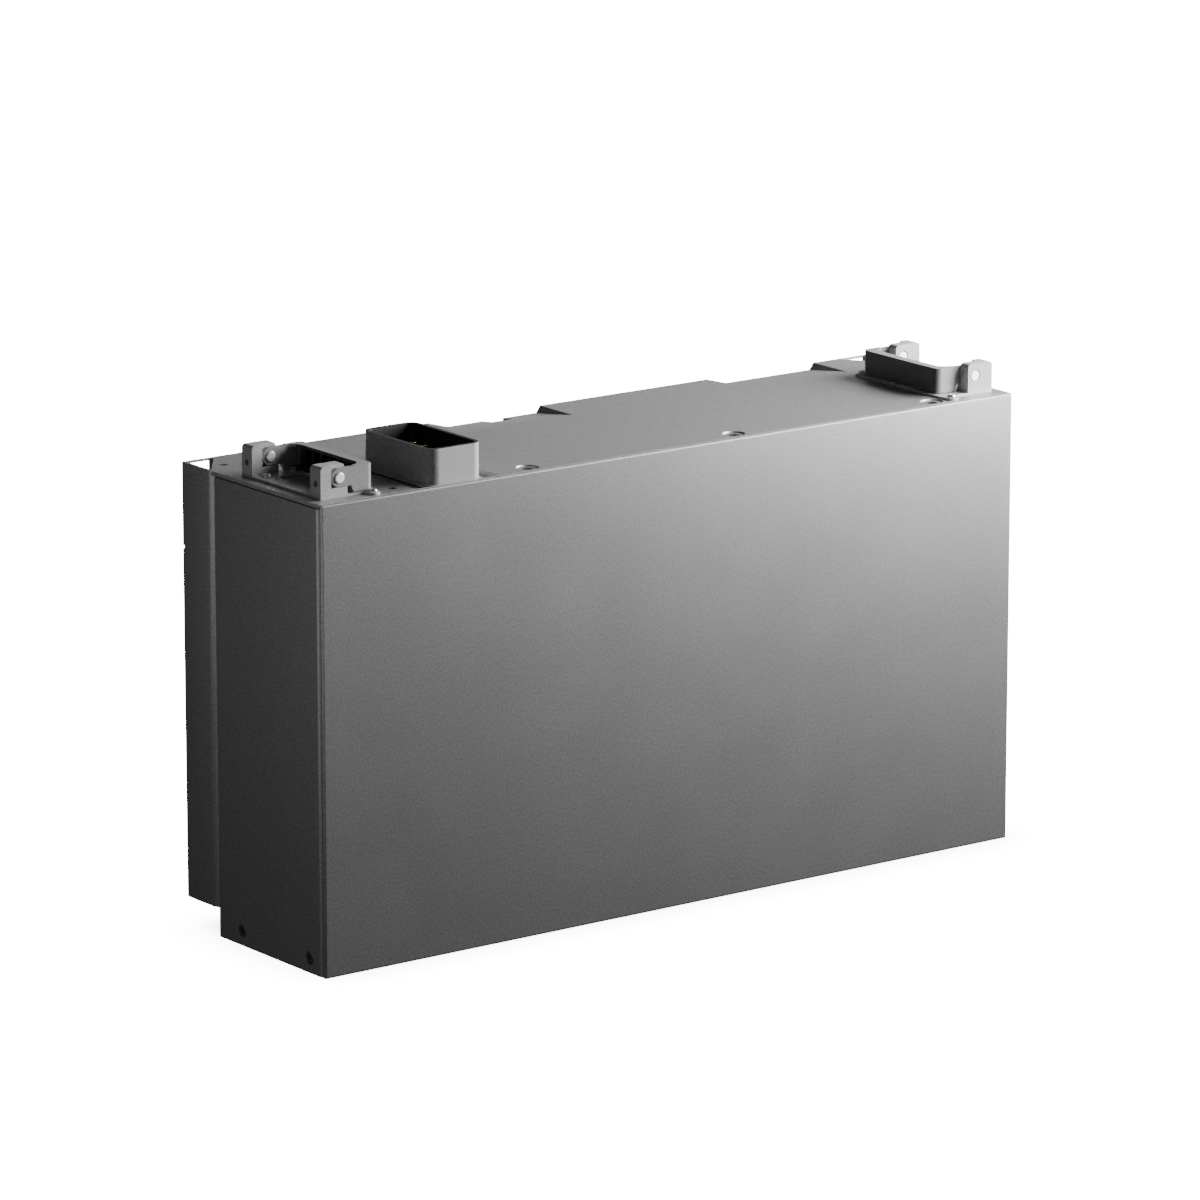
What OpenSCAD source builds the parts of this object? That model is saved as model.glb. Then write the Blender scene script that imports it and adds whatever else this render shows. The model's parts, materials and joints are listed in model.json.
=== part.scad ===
// Home battery module: a stackable cell pack in a folded metal case.
// The front looks along -Y, +Z is up, and the origin is on the floor under
// the middle of the case. All lengths are in millimetres.

/* [Case] */
// Width of the case, left to right
case_w = 680; // [676:1:760]
// Height of the case, from the floor to the top plate
case_h = 374; // [366:1:440]
// Depth of the front block, which holds the cells
block_d = 146.5; // [146:0.5:180]
// Depth of the rear block, which holds the converter
rear_d = 45; // [43:0.5:70]
// Height of the rear block's underside above the floor
rear_raise = 22.5; // [10:0.5:40]
// Thickness of the folded case sheet
sheet_t = 2; // [1.5:0.1:2.4]
// Radius of the case's upright front edges
case_edge_r = 4; // [3:0.5:6]
// Height of the open stacking recess under the case
recess_h = 34; // [32:0.5:44]

/* [Front cover] */
// Thickness of the front cover
cover_t = 3; // [2:0.1:4]
// Bevel around the front cover
cover_bevel = 1.2; // [0.4:0.1:1.8]
// Width of the cover's seal, which shows as a dark seam
seam_w = 1; // [0.5:0.1:2]
// Thickness of the stiffening sheet on the cover's back
cover_back_t = 3; // [2:0.1:3]

/* [Top plate] */
// Thickness of the top plate
top_t = 3; // [2:0.1:4]
// Thickness of the seal under the top plate
top_seal_t = 1; // [0.5:0.1:1.5]
// Drop of each ramp at the rear edge
ramp_drop = 5.5; // [3:0.5:8]
// Width of a ramp at the top plate's surface
ramp_w = 111; // [80:1:130]
// Distance of the second ramp from the right side
ramp_margin = 55; // [45:1:70]
// Run of a ramp's gentle left end
ramp_slope_w = 20; // [8:1:30]
// Run of a ramp's steep right end
ramp_step_w = 4; // [2:0.5:8]
// Depth of the cut rear corners, front to back
corner_cut = 41; // [34:1:42]
// Width of the cut rear corners, left to right
corner_cut_w = 30; // [26:1:34]
// Number of fixing screws along the front edge
top_screw_count = 3; // [2:1:4]
// Place of the first fixing screw, from the left side
top_screw_x = 204; // [200:1:215]
// Place of the last fixing screw, from the right side
top_screw_margin = 72; // [64:1:80]
// Distance of the fixing screws from the front
top_screw_y = 15; // [14:0.5:17]

/* [Connector] */
// Width of the connector shroud
shroud_w = 50; // [44:1:56]
// Depth of the connector shroud, front to back
shroud_d = 93; // [80:1:96]
// Height of the shroud above the top plate
shroud_h = 28; // [22:0.5:29]
// Wall of the shroud
shroud_wall = 3; // [2:0.5:4]
// Radius of the shroud's upright corners
shroud_r = 9; // [7:0.5:12]
// Middle of the shroud, from the left side
shroud_x = 131; // [124:1:136]
// Front of the shroud, from the front
shroud_y = 7; // [6.8:0.1:10]
// Depth of the dished seat round the shroud
dish_depth = 3.5; // [2.6:0.1:4]
// Width of the dished seat
dish_w = 80; // [64:1:86]
// Length of the dished seat beyond the shroud's own
dish_spare = 7; // [6:0.5:9]

/* [Handles] */
// Distance of each bracket from the side of the case
ear_inset = 9.5; // [4:0.5:16]
// Distance of each bracket from the front
ear_y = 15; // [14:0.5:20]
// Distance between a bracket's two ears
ear_pitch = 93; // [80:1:100]
// Width of an ear
ear_w = 25; // [22:0.5:30]
// Thickness of an ear
ear_t = 14; // [12:0.5:18]
// Height of an ear above the top plate
ear_h = 25.5; // [25:0.5:27]
// Thickness of the bracket's foot
foot_t = 2; // [1.5:0.1:2.4]
// Height of the hinge pin above the top plate
pivot_z = 15.5; // [15:0.1:16.5]
// Distance of the hinge pin from the ear's inner edge
pivot_in = 7.5; // [7:0.5:9]
// Diameter of the hinge pin
pin_d = 6; // [4:0.5:7]
// Running clearance of the handle on its pin
pin_play = 0.05; // [0.02:0.01:0.1]
// Reach of the handle, from its pin to its outer face
handle_reach = 31.5; // [28:0.5:36]
// Thickness of a handle arm
arm_t = 3.9; // [3:0.1:4.2]
// Height of the handle's grip bar
bar_h = 20.5; // [16:0.5:21]
// Depth of the grip bar
bar_d = 8; // [6:0.5:10]
// Wall of the grip bar
bar_wall = 2.5; // [1.5:0.1:3]

/* [Stacking lock] */
// Height of the lock screws above the floor
lock_z = 12; // [11:0.5:16]
// Diameter of the lock screw's shank
lock_d = 6; // [5:0.5:6]

/* [Cells] */
// Number of cells
cell_count = 16; // [8:1:16]
// Distance of the row of cells from the sides of the case
row_margin = 44.35; // [40:0.05:60]
// Width of a cell, front to back
cell_w = 130.3; // [100:0.1:130.5]
// Height of a cell
cell_h = 200.5; // [140:0.5:205]
// Thickness of the pad between two cells
cell_pad_t = 0.7; // [0.4:0.1:1]
// Thickness of the end plates
end_plate_t = 10; // [6:0.5:12]

/* [Hidden] */

// True cylinders and arcs take this many sides in a preview
$fn = 48;
// Small overlap that keeps cuts clean
eps = 0.01;
// Clearance of a screw in its hole, on the radius
screw_play = 0.1;
// Clearance between pieces that sit side by side
seat_gap = 0.3;

// Places of the case's faces
left_x = -case_w / 2;
right_x = case_w / 2;
total_d = block_d + rear_d;
front_y = -total_d / 2;
back_y = total_d / 2;
block_back_y = front_y + block_d;
shell_front_y = front_y + cover_t + seam_w;
// Level of the shell's upper edge, under the top plate and its seal
shell_top_z = case_h - top_t - top_seal_t;
// Width of the flanges folded inwards at the openings
flange_w = 22;
// Hairline joint between the shell's sheets
joint_gap = 0.05;
// Opening in the shell's front
front_open_w = case_w - 2 * flange_w;
front_open_z0 = recess_h + 16;
front_open_z1 = shell_top_z - 16;

// Rear corner pockets for the wall hooks
hook_drop = 24;
hook_window_h = 11;
hook_strap = 1.8;
hook_window_w = 22;
rear_bevel_w = 8;
rear_bevel_in = 2.2;
rear_flange_y = block_back_y + seam_w;

// Ramps and screws of the top plate, spread over the case's width
ramp_pitch = case_w * 7 / 17;
ramp_x = case_w - ramp_margin - ramp_w - ramp_pitch;
top_screw_pitch = (case_w - top_screw_x - top_screw_margin) / (top_screw_count - 1);

// Screw heads
csk_head_d = 10.6;
csk_head_h = 3;
top_screw_d = 5;
dimple_d = 19;
dimple_depth = 1.2;
small_screw_d = 4;
small_head_d = 7;
small_head_h = 2;
foot_screw_d = 4;

// Ear and pocket shape, seen from the pin's axis
eye_r = 7.2;
pocket_depth = arm_t + 0.4;
pocket_floor = pivot_z - eye_r - 0.3;
cheek_x = eye_r + 0.4;
ear_out = ear_w - pivot_in;
bracket_d = ear_pitch + ear_t;
foot_over = 2.5;
foot_in = handle_reach + foot_over;
foot_lug_x = 28;
foot_lug_y = bracket_d / 2 + 4;
foot_lug_r = 5.5;
left_pivot_x = left_x + ear_inset + ear_out;
bracket_y = front_y + ear_y + bracket_d / 2;
// Arms of a handle, from the bracket's middle
arm_front_y = -bracket_d / 2 + 0.1;
arm_rear_y = ear_pitch / 2 - ear_t / 2 + 0.1;
handle_d = arm_rear_y + arm_t - arm_front_y;
bar_z0 = foot_t + 0.6;
arm_z0 = pivot_z - eye_r;
handle_r = 5;
rib_t = 1.6;
rib_count = 8;
pin_head_d = 9;
pin_head_h = 1.2;

// Connector and the plug that meets it from the module above
shroud_cx = left_x + shroud_x;
shroud_cy = front_y + shroud_y + shroud_d / 2;
dish_d = shroud_d + dish_spare;
dish_cy = shell_front_y + 1 + dish_d / 2;
dish_floor = 2.5;
dish_wall = 1.5;
shroud_lip = 3;
plug_gap = 1;
contact_count = 4;
contact_pitch = 15;
signal_count = 6;
signal_pitch = 5;

// The row of cells
cells_w = case_w - 2 * row_margin;
cell_pitch = (cells_w + cell_pad_t) / cell_count;
cell_t = cell_pitch - cell_pad_t;
cells_x0 = -cells_w / 2;
cells_cy = front_y + (block_d + cover_t + seam_w) / 2;
tray_top = recess_h + sheet_t;
pad_t = 2;
cells_z = tray_top + pad_t;
terminal_d = 14;
terminal_h = 3;
terminal_off = 45;
busbar_t = 2;
cells_top = cells_z + cell_h;
tray_base_t = 1.2;
deck_z = cells_top + 28;
deck_t = 2;
deck_w = cells_w - 20;
band_h = 20;
band_t = 1;
lead_w = 14;
lead_t = 1.6;

// Converter in the rear block
board_w = case_w * 0.68;
board_z0 = case_h * 0.24;
board_z1 = case_h * 0.86;
board_h = board_z1 - board_z0;
board_t = 1.6;
board_y = block_back_y + rear_d * 0.26;
part_deep = rear_d * 0.5;
fin_count = 25;
fin_t = 2;

// Small notch in the first ramp
notch_x0 = left_x + ramp_x + 54;
notch_w = 20;
notch_d = 15;
notch_drop = 2;

// A flat rounded rectangle, centred, with true round corners
module rounded(w, d, r) {
    square([w - 2 * r, d], center = true);
    square([w, d - 2 * r], center = true);
    for (x = [-1, 1], y = [-1, 1])
        translate([x * (w / 2 - r), y * (d / 2 - r)]) circle(r);
}

// A box placed by its lowest and highest corners
module span(x0, x1, y0, y1, z0, z1) {
    translate([x0, y0, z0]) cube([x1 - x0, y1 - y0, z1 - z0]);
}

// Extrudes a shape drawn in Y and Z along X
module along_x(x0, x1) {
    translate([x0, 0, 0]) rotate([90, 0, 90]) linear_extrude(x1 - x0) children();
}

// Extrudes a shape drawn in X and Z along Y
module along_y(y0, y1) {
    translate([0, y1, 0]) rotate([90, 0, 0]) linear_extrude(y1 - y0) children();
}

// Repeats a piece on the left and, turned half round, on the right
module both_sides() {
    children();
    mirror([1, 0, 0]) children();
}

// Wedge of one ramp: full at the rear edge, nothing at the front block
module ramp_wedge(grow, lift) {
    for (i = [0, 1]) {
        x0 = left_x + ramp_x + i * ramp_pitch;
        x1 = x0 + ramp_w;
        intersection() {
            along_y(block_back_y, back_y + 1)
                polygon([[x0 - grow, case_h + lift + 1], [x0 - grow, case_h + lift],
                         [x0 + ramp_slope_w - grow, case_h - ramp_drop + lift],
                         [x1 - ramp_step_w + grow, case_h - ramp_drop + lift],
                         [x1 + grow, case_h + lift], [x1 + grow, case_h + lift + 1]]);
            along_x(x0 - grow - 1, x1 + grow + 1)
                polygon([[block_back_y, case_h + lift], [back_y, case_h - ramp_drop + lift],
                         [back_y + 1, case_h - ramp_drop + lift],
                         [back_y + 1, case_h + lift + 1], [block_back_y, case_h + lift + 1]]);
        }
    }
}

// Outline of the case seen from above, with its two cut rear corners
module top_outline(inset) {
    polygon([[left_x + inset, shell_front_y + inset], [right_x - inset, shell_front_y + inset],
             [right_x - inset, back_y - corner_cut],
             [right_x - corner_cut_w, back_y - inset],
             [left_x + corner_cut_w, back_y - inset],
             [left_x + inset, back_y - corner_cut]]);
}

// Countersunk screw with its head's face at the origin and its shank below
module csk_screw(d, head_d, head_h, length) {
    difference() {
        union() {
            translate([0, 0, -head_h]) cylinder(h = head_h, d1 = d, d2 = head_d);
            translate([0, 0, -length]) cylinder(h = length - head_h, d = d);
        }
        translate([0, 0, -head_h * 0.6]) cylinder(h = head_h, d = d * 0.62, $fn = 6);
    }
}

// Countersunk hole that takes the screw above with a little clearance
module csk_hole(d, head_d, head_h, length) {
    translate([0, 0, -head_h]) cylinder(h = head_h, d1 = d + 2 * screw_play, d2 = head_d + 2 * screw_play);
    translate([0, 0, -length]) cylinder(h = length, d = d + 2 * screw_play);
    cylinder(h = 1, d = head_d + 2 * screw_play);
}

// Button-headed screw that stands on the origin with its shank below
module button_screw(d, head_d, head_h, length) {
    difference() {
        union() {
            cylinder(h = head_h * 0.5, d = head_d);
            translate([0, 0, head_h * 0.5]) cylinder(h = head_h * 0.5, d1 = head_d, d2 = head_d * 0.7);
            translate([0, 0, -length]) cylinder(h = length + eps, d = d);
        }
        translate([0, 0, head_h * 0.4]) cylinder(h = head_h, d = d * 0.7, $fn = 6);
    }
}

// Places of the screws along the top plate's front edge
module at_top_screws() {
    for (i = [0:top_screw_count - 1])
        translate([left_x + top_screw_x + i * top_screw_pitch, front_y + top_screw_y, case_h])
            children();
}

// Places of the two small screws at the rear corners and the two at the front
module at_corner_screws() {
    for (x = [-1, 1]) {
        translate([x * (right_x - 20), block_back_y + 16.5, case_h]) children();
        translate([x * (right_x - 78), front_y + 17.5, case_h]) children();
    }
}

// Places of the stacking lock screws, pointing inwards
module at_lock_screws() {
    for (x = [-1, 1], y = [-1, 1])
        translate([x * right_x, bracket_y + y * ear_pitch / 2, lock_z])
            rotate([0, x * 90, 0]) children();
}

// Places of the screws from inside the shell into the rear housing's flange
module at_rear_screws() {
    for (x = [-1, -0.33, 0.33, 1], z = [0, 1])
        translate([x * (right_x - 12), block_back_y - sheet_t,
                   z ? shell_top_z - 34 : rear_raise + 24])
            rotate([90, 0, 0]) children();
}

// Bevelled panel with a stiffening sheet that locates it in the shell's opening
module front_cover() {
    back_w = front_open_w - 2;
    color("dimgray") {
        intersection() {
            along_x(left_x, right_x)
                polygon([[front_y, cover_bevel], [front_y + cover_bevel, 0],
                         [front_y + cover_t, 0], [front_y + cover_t, case_h],
                         [front_y + cover_bevel, case_h], [front_y, case_h - cover_bevel]]);
            linear_extrude(case_h)
                polygon([[left_x + cover_bevel, front_y], [right_x - cover_bevel, front_y],
                         [right_x, front_y + cover_bevel], [right_x, front_y + cover_t],
                         [left_x, front_y + cover_t], [left_x, front_y + cover_bevel]]);
        }
        span(-back_w / 2, back_w / 2, front_y + cover_t - eps,
             front_y + cover_t + cover_back_t, front_open_z0 + 1, front_open_z1 - 1);
    }
}

// Seal between the front cover and the shell
module front_seal() {
    inset = 2.5;
    color("black") difference() {
        span(left_x + inset, right_x - inset, front_y + cover_t, shell_front_y, inset, case_h - top_t - inset);
        span(-front_open_w / 2, front_open_w / 2, front_y, shell_front_y + 1,
             front_open_z0, front_open_z1);
    }
}

// Folded sheets round the cells: two sides, the front frame and the rear wall
module case_shell() {
    color("dimgray") {
        intersection() {
            shell_form();
            both_sides() side_share(0);
        }
        difference() {
            shell_form();
            both_sides() side_share(joint_gap);
        }
    }
}

// Share of the shell that a side sheet takes: the side, its two returns and its top flange
module side_share(grow) {
    span(left_x - 1, left_x + case_edge_r + grow, shell_front_y - 1, block_back_y + 1, -1, case_h);
    span(left_x - 1, left_x + flange_w + grow, shell_front_y - 1, block_back_y + 1,
         shell_top_z - sheet_t - grow, case_h);
}

// The shell's sheets in one, with their openings and holes
module shell_form() {
    difference() {
        intersection() {
            union() {
                difference() {
                    span(left_x, right_x, shell_front_y, block_back_y, 0, shell_top_z);
                    span(left_x + sheet_t, right_x - sheet_t, shell_front_y + sheet_t,
                         block_back_y - sheet_t, -1, shell_top_z + 1);
                }
                difference() {
                    span(left_x + eps, right_x - eps, shell_front_y + eps, block_back_y - eps,
                         shell_top_z - sheet_t, shell_top_z);
                    span(left_x + flange_w, right_x - flange_w, shell_front_y + flange_w,
                         block_back_y - flange_w / 2, 0, case_h);
                }
            }
            // rounded upright front edges
            linear_extrude(case_h) {
                translate([left_x + case_edge_r, shell_front_y])
                    square([case_w - 2 * case_edge_r, block_d]);
                translate([left_x, shell_front_y + case_edge_r]) square([case_w, block_d]);
                for (x = [-1, 1])
                    translate([x * (right_x - case_edge_r), shell_front_y + case_edge_r])
                        circle(case_edge_r);
            }
        }
        // window behind the front cover
        span(-front_open_w / 2, front_open_w / 2, front_y, shell_front_y + sheet_t + 1,
             front_open_z0, front_open_z1);
        // cable window to the rear block
        span(-60, 60, block_back_y - sheet_t - 1, block_back_y + 1, deck_z + 20, deck_z + 60);
        // room for the connector's dish
        dish_room(shell_front_y - 1, dish_cy + dish_d / 2 + dish_wall + seat_gap);
        at_lock_screws() csk_hole(lock_d, csk_head_d, csk_head_h, 20);
        at_top_screws() translate([0, 0, -20]) cylinder(h = 20, d = top_screw_d + 2 * screw_play);
        at_corner_screws() translate([0, 0, -20]) cylinder(h = 20, d = small_screw_d + 2 * screw_play);
        at_rear_screws() translate([0, 0, -5]) cylinder(h = 10, d = small_screw_d + 2 * screw_play);
    }
}

// Room that the connector's dish needs in the pieces below the top plate
module dish_room(y0, y1) {
    half_w = dish_w / 2 + dish_wall + seat_gap;
    span(shroud_cx - half_w, shroud_cx + half_w, y0, y1,
         case_h - dish_depth - dish_floor - seat_gap, case_h);
}

// Floor of the case, with the stacking recess open below it
module base_tray() {
    y0 = shell_front_y + sheet_t;
    y1 = block_back_y - sheet_t;
    color("gray") difference() {
        span(left_x + sheet_t, right_x - sheet_t, y0, y1, recess_h, tray_top);
        translate([shroud_cx, shroud_cy, recess_h - 1])
            linear_extrude(sheet_t + 2) rounded(shroud_w - 2 * shroud_wall - 8,
                                                shroud_d - 2 * shroud_wall - 8, shroud_r - 5);
        // slots for the leads that rise from the plug
        at_leads() translate([-lead_w / 2 - seat_gap, 0, recess_h - 1])
            cube([lead_w + 2 * seat_gap, lead_t + 2 * seat_gap, sheet_t + 2]);
    }
}

// Places of the two leads, just behind the shell's front wall
module at_leads() {
    for (x = [-1, 1])
        translate([shroud_cx + x * 12, shell_front_y + sheet_t, 0]) children();
}

// Bars inside the skirt that carry the tray and take the lock screws
module stack_bars() {
    bar_w = ear_inset - sheet_t - 2 * seat_gap;
    color("dimgray") both_sides() difference() {
        span(left_x + sheet_t, left_x + sheet_t + bar_w, bracket_y - bracket_d / 2,
             bracket_y + bracket_d / 2, 2, recess_h);
        at_lock_screws() csk_hole(lock_d, csk_head_d, csk_head_h, 20);
    }
}

// Top plate with its connector dish, ramps, screw dimples and cut corners
module top_plate() {
    z0 = case_h - top_t;
    color("gray") difference() {
        union() {
            translate([0, 0, z0]) linear_extrude(top_t) top_outline(0);
            // the ramps' underside
            intersection() {
                ramp_wedge(2, -top_t);
                translate([0, 0, z0 - ramp_drop]) linear_extrude(ramp_drop + eps) top_outline(0);
            }
            // the dish's underside
            translate([shroud_cx, dish_cy + (dish_wall - 0.5) / 2, case_h - dish_depth - dish_floor])
                linear_extrude(dish_depth + dish_floor - eps)
                    rounded(dish_w + 2 * dish_wall, dish_d + dish_wall + 0.5, 4);
            // pad under the notch
            span(notch_x0 - 2, notch_x0 + notch_w + 2, back_y - notch_d - 2, back_y - sheet_t - seat_gap,
                 case_h - ramp_drop - notch_drop - 2, case_h - ramp_drop);
        }
        ramp_wedge(0, 0);
        // small deeper notch in the first ramp
        span(notch_x0, notch_x0 + notch_w, back_y - notch_d, back_y + 1,
             case_h - ramp_drop - notch_drop, case_h + 1);
        translate([shroud_cx, dish_cy, case_h - dish_depth])
            linear_extrude(dish_depth + 1) rounded(dish_w, dish_d, 3);
        translate([shroud_cx, shroud_cy, case_h - 20])
            linear_extrude(30) rounded(shroud_w - 2 * shroud_lip + 0.4, shroud_d - 2 * shroud_lip + 0.4,
                                       shroud_r - shroud_lip + 0.2);
        at_top_screws() {
            translate([0, 0, -dimple_depth]) cylinder(h = 5, d1 = dimple_d - 2, d2 = dimple_d + 4);
            translate([0, 0, -dimple_depth]) csk_hole(top_screw_d, 9, 1.7, 20);
        }
        at_corner_screws() csk_hole(small_screw_d, small_head_d, 1.5, 20);
        at_foot_screws() translate([0, 0, -20]) cylinder(h = 30, d = foot_screw_d + 2 * screw_play);
    }
}

// Seal between the top plate and the two blocks below it
module top_seal() {
    color("black") difference() {
        translate([0, 0, shell_top_z]) linear_extrude(top_seal_t) top_outline(2);
        span(left_x + 12, right_x - 12, shell_front_y + 9, block_back_y - 9, 0, case_h);
        span(left_x + corner_cut + 8, right_x - corner_cut - 8, block_back_y + 12, back_y - 5, 0, case_h);
        translate([0, 0, -seat_gap]) ramp_wedge(4, -top_t);
        dish_room(shell_front_y - 1, dish_cy + dish_d / 2 + dish_wall + seat_gap);
        at_top_screws() translate([0, 0, -20]) cylinder(h = 20, d = top_screw_d + 2 * screw_play);
        at_corner_screws() translate([0, 0, -20]) cylinder(h = 20, d = small_screw_d + 2 * screw_play);
    }
}

// Corner pocket in which the wall bracket's hook takes hold, seen from above
module hook_corner(inset) {
    slope = corner_cut / corner_cut_w;
    polygon([[left_x + inset, back_y - corner_cut + inset * slope],
             [left_x + corner_cut_w - inset / slope, back_y - inset],
             [left_x + inset, back_y - inset]]);
}

// Rear housing: a drawn cover with hook pockets in its two upper corners
module rear_housing() {
    floor_z = case_h - hook_drop;
    color("dimgray") difference() {
        union() {
            difference() {
                span(left_x, right_x, rear_flange_y, back_y, rear_raise, shell_top_z);
                span(left_x + sheet_t, right_x - sheet_t, rear_flange_y - 1, back_y - sheet_t,
                     rear_raise + sheet_t, case_h);
            }
            // flange against the shell
            difference() {
                span(left_x + eps, right_x - eps, rear_flange_y, rear_flange_y + sheet_t,
                     rear_raise + eps, shell_top_z - 22);
                span(left_x + flange_w, right_x - flange_w, rear_flange_y - 1, back_y,
                     rear_raise + flange_w + 14, shell_top_z - 46);
            }
            // hook pockets, with their walls up to the top plate's surface
            both_sides() {
                translate([0, 0, floor_z - sheet_t]) linear_extrude(shell_top_z - floor_z + sheet_t)
                    hook_corner_wall();
                translate([0, 0, floor_z - sheet_t]) linear_extrude(case_h - floor_z + sheet_t)
                    hook_corner(0);
                // the side's bend behind its bevelled front edge
                translate([0, 0, rear_raise]) linear_extrude(shell_top_z - rear_raise)
                    polygon([[left_x + sheet_t - eps, rear_flange_y],
                             [left_x + sheet_t + rear_bevel_in, rear_flange_y],
                             [left_x + sheet_t - eps, rear_flange_y + rear_bevel_w]]);
            }
        }
        both_sides() {
            translate([0, 0, floor_z]) linear_extrude(hook_drop + 1) hook_corner(sheet_t);
            // window under the rear strap
            span(left_x + sheet_t + 1, left_x + sheet_t + 1 + hook_window_w, back_y - sheet_t - 1, back_y + 1,
                 case_h - hook_strap - hook_window_h, case_h - hook_strap);
            // bevelled front edge, which shows as a light line up the side
            translate([0, 0, rear_raise - 1]) linear_extrude(case_h)
                polygon([[left_x - 1, rear_flange_y - 1], [left_x + rear_bevel_in, rear_flange_y - 1],
                         [left_x + rear_bevel_in, rear_flange_y],
                         [left_x, rear_flange_y + rear_bevel_w], [left_x - 1, rear_flange_y + rear_bevel_w]]);
            // locating notch in the upright rear edge
            span(left_x - 1, left_x + 1.6, back_y - 1.8, back_y + 1, case_h - 69.5, case_h - 66.5);
        }
        translate([0, 0, -seat_gap]) ramp_wedge(4, -top_t);
        at_corner_screws() translate([0, 0, -20]) cylinder(h = 20, d = small_screw_d + 2 * screw_play);
        at_rear_screws() translate([0, 0, -10]) cylinder(h = 20, d = small_screw_d + 2 * screw_play);
    }
}

// Slanted wall that closes a hook pocket towards the inside
module hook_corner_wall() {
    polygon([[left_x, back_y - corner_cut - 2 * sheet_t],
             [left_x + corner_cut_w + 2 * sheet_t, back_y],
             [left_x, back_y]]);
}

// Seal between the shell's rear wall and the rear housing
module rear_seal() {
    color("black") difference() {
        span(left_x + 4, right_x - 4, block_back_y, rear_flange_y, rear_raise + 3, shell_top_z - 24);
        span(left_x + flange_w - 2, right_x - flange_w + 2, block_back_y - 1, rear_flange_y + 1,
             rear_raise + flange_w + 12, shell_top_z - 44);
        at_rear_screws() translate([0, 0, -10]) cylinder(h = 20, d = small_screw_d + 2 * screw_play);
    }
}

// Connector shroud: an open-topped moulding on a flat lip
module connector_shroud() {
    seat_z = case_h - dish_depth + 1;
    floor_z = case_h + 2;
    color([0.13, 0.13, 0.14]) translate([shroud_cx, shroud_cy, 0]) difference() {
        union() {
            translate([0, 0, seat_z]) linear_extrude(case_h + shroud_h - seat_z)
                rounded(shroud_w, shroud_d, shroud_r);
            // lip that spreads the load on the seal
            translate([0, 0, seat_z]) linear_extrude(2) rounded(shroud_w + 4, shroud_d + 3, shroud_r + 1);
            // body below the top plate
            translate([0, 0, case_h - 14]) linear_extrude(14)
                rounded(shroud_w - 2 * shroud_lip, shroud_d - 2 * shroud_lip, shroud_r - shroud_lip);
        }
        translate([0, 0, floor_z]) linear_extrude(60)
            rounded(shroud_w - 2 * shroud_wall, shroud_d - 2 * shroud_wall, shroud_r - shroud_wall);
        at_contacts() translate([0, 0, case_h - 20]) linear_extrude(30)
            square([10.2, 3.2], center = true);
        at_signals() translate([0, 0, case_h - 20]) cylinder(h = 30, d = 2.2);
    }
}

// Places of the power contacts and the signal pins in the connector
module at_contacts() {
    for (i = [0:contact_count - 1])
        translate([6, (i - (contact_count - 1) / 2) * contact_pitch, 0]) children();
}
module at_signals() {
    for (i = [0:signal_count - 1])
        translate([-12, (i - (signal_count - 1) / 2) * signal_pitch, 0]) children();
}

// Ring seal between the shroud's lip and the dish
module connector_seal() {
    color("black") translate([shroud_cx, shroud_cy, case_h - dish_depth]) linear_extrude(1) difference() {
        rounded(shroud_w + 3, shroud_d + 2, shroud_r + 1);
        rounded(shroud_w - 2, shroud_d - 2, shroud_r - 1);
    }
}

// Flat power blades in the connector
module power_contacts() {
    color("gold") translate([shroud_cx, shroud_cy, 0]) at_contacts()
        translate([0, 0, case_h - 22]) linear_extrude(22 + shroud_h - 10) square([10, 3], center = true);
}

// Thin signal pins in the connector
module signal_contacts() {
    color("gold") translate([shroud_cx, shroud_cy, 0]) at_signals() {
        translate([0, 0, case_h - 20]) cylinder(h = 18 + shroud_h - 12, d = 2);
    }
}

// Plug under the case that meets the connector of the module below
module stack_plug() {
    w = shroud_w - 2 * shroud_wall - 2 * plug_gap;
    d = shroud_d - 2 * shroud_wall - 2 * plug_gap;
    r = shroud_r - shroud_wall - plug_gap;
    color([0.13, 0.13, 0.14]) translate([shroud_cx, shroud_cy, 0]) difference() {
        union() {
            translate([0, 0, recess_h - 22]) linear_extrude(22) rounded(w, d, r);
            translate([0, 0, recess_h - 3]) linear_extrude(3) rounded(w + 8, d + 8, r);
            translate([0, 0, recess_h - 1]) linear_extrude(sheet_t + 1) rounded(w - 8.4, d - 8.4, r);
        }
        at_contacts() translate([0, 0, recess_h - 23]) linear_extrude(20) square([12, 5], center = true);
        at_signals() translate([0, 0, recess_h - 23]) cylinder(h = 20, d = 4);
    }
}

// Spring sockets in the plug
module plug_contacts() {
    color("gold") translate([shroud_cx, shroud_cy, recess_h - 20]) {
        at_contacts() difference() {
            translate([0, 0, 8.5]) cube([12, 5, 17], center = true);
            translate([0, 0, 6.5]) cube([10.4, 3.4, 17], center = true);
        }
        at_signals() difference() {
            cylinder(h = 17, d = 4);
            translate([0, 0, -1]) cylinder(h = 16, d = 2.4);
        }
    }
}

// Places of the screws that hold one bracket's foot, from its own middle
module foot_screw_places() {
    for (y = [-1, 1]) {
        translate([foot_lug_x, y * foot_lug_y]) children();
        translate([-ear_out / 2, y * (ear_pitch / 2 - ear_t / 2 - 8)]) children();
    }
}
module at_foot_screws() {
    for (turn = [0, 180]) bracket_place(turn) foot_screw_places() children();
}

// Puts a piece drawn about the left pin's axis on the left or right side
module bracket_place(turn) {
    translate([turn ? -left_pivot_x : left_pivot_x, bracket_y, case_h]) rotate([0, 0, turn]) children();
}

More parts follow.
